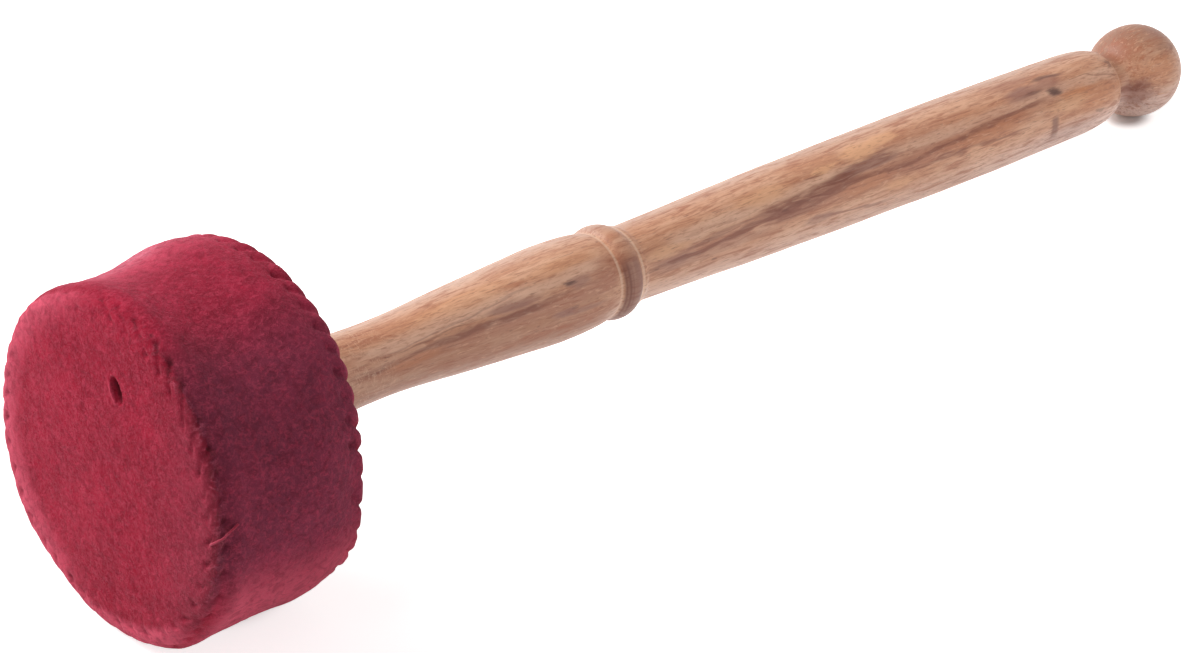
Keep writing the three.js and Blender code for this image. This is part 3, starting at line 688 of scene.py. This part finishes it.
def cord(path, radius, plies, ply_run, sides=18):
    """Rings of a twisted cord along a path. A ply comes round once in each ply run."""
    path = np.asarray(path, float)
    along = np.gradient(path, axis=0)
    along /= np.linalg.norm(along, axis=1)[:, None]
    run = np.concatenate([[0], np.cumsum(np.linalg.norm(np.diff(path, axis=0), axis=1))])
    turn = np.arange(sides) * 2 * math.pi / sides
    across = np.array(Vector(along[0]).orthogonal())
    rings = []
    for place, ahead, gone in zip(path, along, run):
        across = across - ahead * (across @ ahead)
        across /= np.linalg.norm(across)
        other = np.cross(ahead, across)
        ply_turn = turn - 2 * math.pi * gone / ply_run
        swell = radius * (1 - PLY_GROOVE + PLY_GROOVE * np.abs(np.cos(plies / 2 * ply_turn)))
        ring = np.outer(swell * np.cos(turn), across) + np.outer(swell * np.sin(turn), other)
        rings.append(place + ring)
    return np.array(rings)


def twine_finish():
    paint, place = start_finish("buff_twine", {"Specular IOR Level": 0.2, "Sheen Weight": 0.3})
    fibre = place.grain(0.25, 3, (1, 2.5, 1), 1.0)
    tone = place.grain(3, 2)
    buff = tone.rise(0.35, 0.65).mix(colour(206, 188, 150), colour(190, 168, 128))
    fibrous = (fibre.rise(0.5, 0.7) * 0.5).mix(buff, colour(150, 126, 88))
    end_finish(paint, fibrous, 0.85 + 0.1 * tone, fibre, 0.5, 0.08)
    return paint


twine_from = (padding_from + padding_to - TWINE_TURNS * TWINE_SPACE) / 2
strip_end = START_TURN - 90 + 360 * strip_turns
twine_path = []
for turns in np.linspace(0, TWINE_TURNS, TWINE_TURNS * TWINE_STEPS_A_TURN):
    under = PADDING_OUTSIDE - TURN_SPACE * (1 - max(turns % 1, 1 - turns % 1 / TWINE_CLIMB))
    radius = under + TWINE_RADIUS - TWINE_SINK
    point = around(twine_from + TWINE_SPACE * turns, radius, strip_end + 360 * turns)
    twine_path.append(settled(point))
twine_rings = cord(twine_path, TWINE_RADIUS, TWINE_PLIES, TWINE_LAY)
lay("binding_twine_cord", twine_finish(), twine_rings, "capped", "binding_twine")

# Pads: a disc of the same grey felt in front of the core, and one with a hole for the handle
# behind it. They fill the cover out to its seams.
PAD_RADIUS, PAD_COLUMNS = 30.45, 120
PAD_HILLS = ((5, 0.12, 6),)
CENTRE, NECK_HOLE = 0.4, SEAT_RADIUS + 0.12


def pad(name, hole, ends, node):
    """A disc or a ring of felt with a round edge and the given hole, in place of the node."""
    start = place_of(node, min)
    rim = bend(start + FELT / 2, PAD_RADIUS - FELT / 2, FELT / 2, FELT / 2, 0, 180)
    line = evened(np.vstack([[(start, hole)], rim, [(start + FELT, hole)]]), FELT / 4, 0)
    rings = around(line[:, :1], line[:, 1:], np.arange(PAD_COLUMNS)[None] * 360 / PAD_COLUMNS)
    rings[..., 0] += uneven(rings, PAD_HILLS)
    piece = lay(name, grey, settled(rings), ends, node)


pad("front_padding_disc", CENTRE, "capped", "front_pad")
pad("rear_padding_ring", NECK_HOLE, "joined", "rear_pad")

# Felt cover: a front disc, a band and a rear ring of crimson wool felt, 3 mm thick. They are sewn
# together with whip stitches over both edges, which draw the felt in and make its rims uneven.
FRONT_DEPTH, FRONT_SHOULDER, REAR_ROUND = 1.5, 2.8, 2.6
BAND = ((1.5, 35.2), (4.5, 36.3), (10, 36.1), (25, 37.5), (33.4, 35.5))
OUTLINE_STEP, LINING_STEP, COLUMNS = 0.5, 3, 560
SEAM_BEFORE, FRONT_BITE, REAR_BITE = 0.7, 1.8, 2.9
# Each seam's stitches, and the angles of those that the camera sees
FRONT_STITCHES, REAR_STITCHES, STITCH_UNEVEN = 40, 42, 1.2
FRONT_SEEN = (9.3, 21.2, 29, 37.1, 49, 58, 66, 74.3, 82, 91, 100, 110, 120, 130)
REAR_SEEN = (4.8, 14.4, 21.8, 29, 36.2, 43.5, 51, 58.6, 66.5, 74.8, 82, 93.3, 104.3, 114.4, 124, 133)
# How deep the thread and its holes draw in the felt, and how high it puffs up between them
VALLEY_WIDTH, VALLEY_FADE, HOLE_SIZE = 1, 0.9, 0.85
FRONT_PULL, FRONT_HOLE, REAR_PULL, REAR_HOLE = 0.14, 0.5, 0.65, 0.5
FRONT_PUFF, FRONT_PUFF_WIDTH, REAR_PUFF, REAR_PUFF_WIDTH = 0.1, 1.6, 0.4, 3.2
SEAM_PULL, FRONT_SEAM_SHARE, FRONT_SEAM_WIDTH, REAR_SEAM_WIDTH = 0.08, 0.4, 0.45, 0.5
NAP = ((3.2, 0.12, 1), (1.4, 0.06, 2), (0.8, 0.04, 3), (15, 0.4, 4))
# Where the cover is fuller or flatter than a round one: place along it, angle and height
BULGES = (
    (0, -50, 0.9), (2, -30, -1), (2, -72, -0.6), (1, -95, 0.3), (0, -131, 0.9), (0, -160, -0.8),
    (14, -36, 0.5), (21, -37, -0.5), (31, -36, 0.2), (0, 48, -1), (0, 70, -1), (0, 92, -0.5),
    (33, 2, 0.2), (33, 40, 0.6), (33, 66, -0.8), (33, 90, -1), (33, 114, 0.5), (24, 128, 0.3),
    (20, 143, -0.7), (5, 154, 0.8),
)
BULGE_LENGTH, BULGE_TURN, BULGES_FROM = 9, 20, 24
# The front edge is worn down round one angle, and its needle holes are shallow round another
WORN_AT, WORN_TURN, WORN_LENGTH, WORN_DEPTH = 8, 26, 2.4, 0.7
SHALLOW_AT, SHALLOW_TURN, SHALLOW_SHARE = -38, 48, 0.75
NICK_UP, NICK_SIDE, NICK_TURN = 17.9, -4.1, 34
NICK_LENGTH, NICK_WIDTH, NICK_DEPTH, NICK_FULL, NICK_STEEP = 5.6, 2.6, 1.7, 1.15, 0.7
LIP_OFF, LIP_WIDTH, LIP_HEIGHT, LIP_TAPER = 0.62 * NICK_WIDTH, 0.4, 0.3, 2.2
BUTT_ANGLE, BUTT_HALF_WIDTH, BUTT_STITCHES, BUTT_MARGIN = 220.5, 1.7, 5, 7
BUTT_PULL, BUTT_GROOVE = 0.8, 0.4
CROWN, LEAN_REACH = 1.5, 0.3
# How much painted shade or painted highlight the felt gets there, as a share of how far it is drawn in
SEAM_DARK, NICK_DARK, NICK_LEFT, LIP_PALE, PUFF_PALE, REAR_PALE = 0.3, 1.4, 0.4, 0.9, 0.4, 0.4
SUNK_LEAST, SUNK_MOST = -1, 1.5
SEAM_ROW, FINE_ROW, PLAIN_ROW, FINE_REACH, NICK_ROWS = 0.05, 0.3, 0.6, 6, (13, 21.5)
head_depth = place_of("cover_rear", max)


def stitch_places(seen_places, count, seed):
    """Angles of a seam's stitches: those that the camera sees, and the rest evenly spread."""
    draw = np.random.default_rng(seed)
    hidden = np.linspace(seen_places[-1], seen_places[0] + 360, count - len(seen_places) + 2)[1:-1]
    hidden += draw.uniform(-STITCH_UNEVEN, STITCH_UNEVEN, hidden.size)
    return np.array([*seen_places, *hidden])


def past(angle, other):
    """How far an angle lies past another one, in degrees from -180 to 180."""
    return (angle - other + 180) % 360 - 180


def hill(off, width):
    """1 where there is nothing off, and near 0 from twice the width on."""
    return np.exp(-((off / width) ** 2))


front_radius, rear_radius = BAND[0][1], BAND[-1][1]
face_edge = front_radius - FRONT_SHOULDER
outline = np.vstack([
    [(0, CENTRE), (0, face_edge)],
    bend(FRONT_DEPTH, face_edge, FRONT_DEPTH, FRONT_SHOULDER, 0, 90, 40)[1:],
    flow(BAND, OUTLINE_STEP)[1:],
    bend(head_depth - REAR_ROUND, rear_radius - REAR_ROUND, REAR_ROUND, REAR_ROUND, 90, 180)[1:],
    [(head_depth, NECK_HOLE)],
])
outline_run = np.concatenate([[0], np.cumsum(np.hypot(*np.diff(outline, axis=0).T))])
front_corner = outline_run[np.argmin(np.hypot(*(outline - (0, front_radius)).T))] - SEAM_BEFORE
rear_corner = outline_run[-1] - (rear_radius - REAR_ROUND - NECK_HOLE) - REAR_ROUND * math.pi / 4
front_stitches = stitch_places(FRONT_SEEN, FRONT_STITCHES, 3)
rear_stitches = stitch_places(REAR_SEEN, REAR_STITCHES, 5)


def stitch_pull(beyond, angle, stitches, bite, seed, weakest, on_band):
    """How much the stitches draw in the felt, from 0 to 1, and how much their needle holes do.
    Beyond is how far a point lies beyond the seam on the band's side, where the holes are as deep
    as given."""
    strength = np.random.default_rng(seed).uniform(weakest, 1, stitches.size)
    valley = np.zeros(np.broadcast(beyond, angle).shape)
    holes = valley.copy()
    share = np.clip((bite - beyond) / (2 * bite), 0, 1)
    from_holes = np.abs(beyond) - bite
    for place, following, pull in zip(stitches, np.roll(stitches, -1), strength):
        on_thread = place + past(following, place) * share
        off = np.radians(past(angle, on_thread)) * front_radius
        fade = hill(np.clip(from_holes, 0, None), VALLEY_FADE)
        valley = np.maximum(valley, pull * hill(off, VALLEY_WIDTH) * fade)
        holes = np.maximum(holes, pull * hill(off, HOLE_SIZE) * hill(from_holes, HOLE_SIZE))
    return valley, holes * np.where(beyond > 0, on_band, 1)


def nick(points):
    """Depth of the nick in the front felt, the height of the lip along its left side, and how far
    to its left each point is."""
    turn = math.radians(NICK_TURN)
    up, side = points[..., 2] - NICK_UP, points[..., 1] - NICK_SIDE
    along = up * math.cos(turn) + side * math.sin(turn)
    over = side * math.cos(turn) - up * math.sin(turn)
    inside = NICK_FULL - (2 * along / NICK_LENGTH) ** 2 - (2 * over / NICK_WIDTH) ** 2
    inside = np.clip(inside, 0, 1)
    lip = hill(over - LIP_OFF, LIP_WIDTH) * hill(LIP_TAPER * along, NICK_LENGTH)
    return inside**NICK_STEEP, lip * (1 - inside), np.clip(2 * over / NICK_WIDTH, -1, 1)


def bulged(x, radius, angle):
    """The radius of the hand-made cover where it is fuller or flatter than a round one."""
    share = np.clip((radius - BULGES_FROM) / (front_radius - BULGES_FROM), 0, 1)
    for along, turn, height in BULGES:
        near = hill(x - along, BULGE_LENGTH) * hill(past(angle, turn), BULGE_TURN)
        radius = radius + share * height * near
    return radius


def felt_skin(run, angle, lift=0.0):
    """Points on the outside of the cover, from how far along its outline they are and from their
    angle, with how much painted shade each gets where it is sunk, which turns to painted highlight
    where it puffs."""
    x, radius = (np.interp(run, outline_run, outline[:, k]) for k in (0, 1))
    ahead = np.minimum(run + LEAN_REACH, outline_run[-1])
    behind = np.maximum(run - LEAN_REACH, 0)
    lean = [np.interp(ahead, outline_run, k) - np.interp(behind, outline_run, k) for k in outline.T]
    length = np.hypot(*lean)
    out_x, out_radius = -lean[1] / length, lean[0] / length
    radius = bulged(x, radius, angle)
    smooth = around(x, radius, angle)
    past_front, past_rear = run - front_corner, run - rear_corner
    front_valley, front_holes = stitch_pull(
        past_front, angle, front_stitches, FRONT_BITE, seed=11, weakest=0.6, on_band=1.1,
    )
    rear_valley, rear_holes = stitch_pull(
        -past_rear, angle, rear_stitches, REAR_BITE, seed=12, weakest=0.4, on_band=0.7,
    )
    front_holes = front_holes * (1 - SHALLOW_SHARE * hill(past(angle, SHALLOW_AT), SHALLOW_TURN))
    seam = FRONT_SEAM_SHARE * hill(past_front, FRONT_SEAM_WIDTH) + hill(past_rear, REAR_SEAM_WIDTH)
    on_face = run < outline_run[-1] / 2
    cut, lip, left = (part * on_face for part in nick(smooth))
    crown = CROWN * (1 - np.clip(radius / front_radius, 0, 1) ** 2) * on_face
    off_butt = np.radians(past(angle, BUTT_ANGLE)) * rear_radius
    butt = hill(off_butt, BUTT_GROOVE) * (past_front > 0) * (past_rear < 0)
    worn = hill(past_front - SEAM_BEFORE, WORN_LENGTH) * hill(past(angle, WORN_AT), WORN_TURN)
    pull = FRONT_PULL * front_valley + FRONT_HOLE * front_holes + BUTT_PULL * butt
    pull = pull + REAR_PULL * rear_valley + REAR_HOLE * rear_holes
    front_puff = FRONT_PUFF * hill(past_front, FRONT_PUFF_WIDTH) * (1 - front_valley)
    rear_puff = REAR_PUFF * hill(past_rear, REAR_PUFF_WIDTH) * (1 - rear_valley)
    puff = front_puff + rear_puff - WORN_DEPTH * worn
    rise = crown + puff - pull - SEAM_PULL * seam + uneven(smooth, NAP)
    rise = rise - NICK_DEPTH * cut + LIP_HEIGHT * lip + lift
    points = around(x + out_x * rise, radius + out_radius * rise, angle)
    # Painted shade in the seams, holes and nick, darker towards the nick's right side, and painted
    # highlight on the puffs and the nick's lip
    sunk = pull - REAR_PALE * rear_valley + SEAM_DARK * seam - PUFF_PALE * puff
    sunk = sunk + (NICK_DARK - NICK_LEFT * left) * cut - LIP_PALE * lip
    return settled(points, CLEARANCE + max(lift, 0)), np.clip(sunk, SUNK_LEAST, SUNK_MOST)


def rows_between(start, end):
    """Places along the outline, closer together near the seams and the nick."""
    places = [start, start + SEAM_ROW]
    while places[-1] < end - SEAM_ROW:
        here = places[-1]
        near_seam = min(abs(here - front_corner), abs(here - rear_corner)) < FINE_REACH
        fine = near_seam or NICK_ROWS[0] < here < NICK_ROWS[1]
        places.append(here + (FINE_ROW if fine else PLAIN_ROW))
    return np.array([*places[:-1], end - SEAM_ROW, end])[:, None]


columns = np.arange(COLUMNS)[None] * 360 / COLUMNS


def crimson_felt():
    """Wool felt: clumped wool with loose hairs on it, with painted shade where the stitches and the
    nick sink it and on the band's side, painted highlight where it puffs, and painted sheen along its
    edges."""
    paint, place = start_finish("crimson_felt", {
        "Specular IOR Level": 0.22, "Roughness": 0.95,
        "Sheen Weight": 0.2, "Sheen Roughness": 0.25, "Sheen Tint": (1, 0.35, 0.45, 1),
    })
    sunk = Value(paint.node_tree.nodes.new("ShaderNodeAttribute").outputs["Fac"])
    sunk.socket.node.attribute_name = "sunk"
    x, y, z, angle = split(place)
    radius = place.vector("MULTIPLY", (0, 1, 1)).vector("LENGTH", output=1)
    patches = place.grain(9, 4, distortion=0.8)
    clumps = place.grain(2.2, 4, distortion=1.2)
    tufts = place.grain(1.05, 3, distortion=0.8)
    combed = place.grain(0.8, 3, (1, 4, 1), 0.8)
    hairs = [
        abs(place.grain(size, 2, stretch, 1.8) - 0.5).rise(0.05, 0)
        for size, stretch in ((1.5, (1, 2.2, 1)), (1.4, (1, 1, 2.4)), (1.6, (2.2, 1, 1)))
    ]
    hair = hairs[0].most(hairs[1]).most(hairs[2])
    on_band = (x + tufts * 2).rise(2, 7)
    # The band's tones are a little greyer than the face's: painted grey haze of the band's shade
    pale = on_band.mix(colour(160, 31, 55), colour(160, 38, 62))
    deep = on_band.mix(colour(140, 24, 46), colour(134, 30, 49))
    wool = patches.rise(0.3, 0.7).mix(deep, pale)
    over_edge = x + (radius - 34) * 0.7 + (clumps - 0.5) * 3
    before_rear = x.rise(35, 33.5).most(radius.rise(32.5, 34.5))
    # Painted shade: grey-purple on the band's side towards the camera
    painted_side_shade = before_rear * over_edge.rise(-0.2, 1.2) * angle.rise(14, 48) * angle.rise(128, 96) * 0.42
    wool = painted_side_shade.mix(wool, colour(84, 64, 86))
    # Painted shade on the face's side towards the camera
    near_side = y.rise(-10, -34) * x.rise(2, 0.5)
    wool = (near_side * 0.34).mix(wool, colour(112, 62, 76))
    # Painted shade in the crease just behind the front seam
    crease_shade = over_edge.rise(-0.2, 1) * x.rise(7, 2) * angle.rise(20, 46) * angle.rise(116, 94)
    wool = (crease_shade * 0.3).mix(wool, colour(66, 20, 38))
    # Painted highlight: a pale line along the ridge of the front seam on the camera side
    ridge_highlight = radius.rise(31.6, 33) * radius.rise(34.8, 33.8) * x.rise(1.6, 0.6) * angle.rise(42, 60)
    ridge_highlight = ridge_highlight * angle.rise(108, 92) * clumps.rise(0.48, 0.62) * 0.35
    # Painted sheen along the rear rim
    edges = ridge_highlight.most(x.rise(34.6, 36) * 0.5)
    # Painted light along the edges: sheen on the face's far rim and the band's top, and bounce light
    # from the floor on the face's lower rim and the band's foot
    far_rim = (radius.rise(26, 34) * y.rise(2, 22)).most(radius.rise(32.6, 34.8) * z.rise(-23, -31))
    top = x.rise(2, 8) * before_rear * angle.rise(-2, -32, 0.75) * angle.rise(-64, -42)
    foot = x.rise(1, 7) * before_rear * abs(angle).rise(98, 122)
    painted_sheen = edges.most(far_rim * x.rise(3, 0.5)).most(top).most(foot) * (clumps * 0.5 + 0.5)
    wool = painted_sheen.mix(wool, colour(216, 90, 112))
    # Painted sheen in combed streaks at the very top of the band
    wool = (angle.rise(-20, -34) * combed.rise(0.3, 0.65, 0.8) * top).mix(wool, colour(216, 134, 152))
    shaded = clumps.rise(0.56, 0.36, 0.32).mix(wool, colour(96, 14, 34))
    tufted = tufts.rise(0.5, 0.7, 0.2).mix(shaded, colour(200, 58, 86))
    haired = (hair * tufts.rise(0.35, 0.6) * 0.22).mix(tufted, colour(216, 88, 112))
    on_seam = abs(over_edge - 0.6).rise(2.6, 0.6) * angle.rise(4, 22) * angle.rise(138, 124)
    muddied = (on_seam * tufts.rise(0.5, 0.64) * 0.45).mix(haired, colour(70, 38, 40))
    frayed = (on_seam * hair * clumps.rise(0.5, 0.64) * 0.3).mix(muddied, colour(208, 104, 124))
    # Painted highlight where the felt puffs, and painted shade in its holes, valleys and the nick
    raised = sunk.rise(0, -0.6, 0.5).mix(frayed, colour(206, 74, 98))
    pitted = (sunk + (tufts - 0.5) * 0.7).rise(0.15, 0.95, 0.75).mix(raised, colour(68, 20, 28))
    pitted = (sunk + (tufts - 0.5)).rise(0.85, 1.25, 0.85).mix(pitted, colour(34, 25, 20))
    height = clumps * 0.9 + tufts * 0.6 + hair * 0.35
    end_finish(paint, pitted, None, height, 0.6, 0.3)
    return paint


felt_paint = crimson_felt()


def felt_piece(name, start, end, inside, ends, node):
    """The cover between two places along its outline, closed on its inside, in place of the node."""
    rows, depth = felt_skin(rows_between(start, end), columns)
    lining = np.stack([settled(around(np.float64(x), np.float64(r), columns[0])) for x, r in inside])
    rings = np.concatenate([rows, lining])
    sunk = np.concatenate([depth, np.zeros(lining.shape[:2])])
    piece = lay(name, felt_paint, rings, ends, node, sunk)


# The inner corners keep a little clear of the next piece
felt_piece(
    "front_felt", 0, front_corner,
    [(FELT, front_radius - FELT - 0.4), (FELT, face_edge - 4), (FELT, CENTRE)],
    "capped", "cover_front",
)
band_inside = [(x, radius - FELT) for x, radius in flow(BAND, LINING_STEP)[::-1]][1:-1]
felt_piece(
    "felt_band", front_corner, rear_corner,
    [(head_depth - FELT, rear_radius - FELT - 0.2), *band_inside, (FELT + 0.1, front_radius - FELT)],
    "joined", "cover_band",
)
felt_piece(
    "rear_felt", rear_corner, outline_run[-1],
    [(head_depth - FELT, NECK_HOLE), (head_depth - FELT, rear_radius - FELT - 0.6)],
    "joined", "cover_rear",
)

# Sewing thread: crimson three-ply thread. Each stitch goes in through the face, comes out of the
# band and runs over the edge to the next one. The front seam ends in a loose tail on the band, and
# a lacing closes the joint where the band's two ends meet, out of sight.
THREAD_RADIUS, THREAD_PLIES, THREAD_LAY = 0.25, 3, 1.3
REAR_THREAD_SINK, FRONT_THREAD_SINK, HIDDEN_DEPTH, LACING_DEPTH = 0.56, 0.6, -1.6, -1.4
THREAD_STEP, STITCH_STEPS, LACING_STEPS, TAIL_STEPS = 0.35, 9, 6, 8
TAIL_STITCH, TAIL_START, TAIL_RUN, TAIL_TURN, TAIL_LIFT, TAIL_BEND = 9, -1.1, 5.5, -8, 0.4, 2.2


def crimson_thread():
    paint, place = start_finish("crimson_thread", {"Specular IOR Level": 0.15, "Sheen Weight": 0.1})
    fuzz = place.grain(0.3, 3, (1, 2, 1), 1.0)
    tone = place.grain(4, 2)
    dyed = tone.rise(0.35, 0.65).mix(colour(158, 48, 68), colour(180, 72, 92))
    fuzzy = (fuzz.rise(0.5, 0.7) * 0.5).mix(dyed, colour(104, 24, 40))
    end_finish(paint, fuzzy, 0.8 + 0.1 * tone, fuzz, 0.5, 0.05)
    return paint


def whip_stitches(corner, way, stitches, bite, sink):
    """The thread's path through a seam. The way is 1 where the band follows the corner along the
    outline, and -1 where it comes before it."""
    path = []
    for place, following in zip(stitches, stitches[1:]):
        path.append(felt_skin(corner + way * (bite - 1), place, HIDDEN_DEPTH)[0])
        for share in np.linspace(0, 1, STITCH_STEPS):
            run = corner + way * bite * (1 - 2 * share)
            angle = place + past(following, place) * share
            path.append(felt_skin(run, angle, THREAD_RADIUS - sink)[0])
        path.append(felt_skin(corner - way * (bite - 1), following, HIDDEN_DEPTH)[0])
    return path


thread_paint = crimson_thread()
front_order = [*np.roll(front_stitches, -TAIL_STITCH), front_stitches[TAIL_STITCH]]
front_path = whip_stitches(front_corner, 1, front_order, FRONT_BITE, FRONT_THREAD_SINK)
for share in np.linspace(0.05, 1, TAIL_STEPS):
    run, angle = front_corner + TAIL_START + TAIL_RUN * share, front_order[-1] + TAIL_TURN * share
    lift = THREAD_RADIUS + TAIL_LIFT * math.sin(TAIL_BEND * share)
    front_path.append(felt_skin(run, angle, lift)[0])
rear_path = whip_stitches(rear_corner, -1, rear_stitches, REAR_BITE, REAR_THREAD_SINK)
lacing_path = []
lacing_turn = math.degrees(BUTT_HALF_WIDTH / rear_radius)
over_butt = [(THREAD_RADIUS, side) for side in np.linspace(-1, 1, LACING_STEPS)]
for place in np.linspace(BUTT_MARGIN, head_depth - BUTT_MARGIN, BUTT_STITCHES + 1):
    for depth, side in ((LACING_DEPTH, -1), *over_butt, (LACING_DEPTH, 1)):
        lacing_path.append(felt_skin(front_corner + place, BUTT_ANGLE + side * lacing_turn, depth)[0])
for name, path, node in (
    ("front_whip_stitches", front_path, "front_seam_thread"),
    ("rear_whip_stitches", rear_path, "rear_seam_thread"),
    ("band_lacing", lacing_path, "band_seam_thread"),
):
    rings = cord(flow(path, THREAD_STEP), THREAD_RADIUS, THREAD_PLIES, THREAD_LAY, 9)
    lay(name, thread_paint, rings, "capped", node)
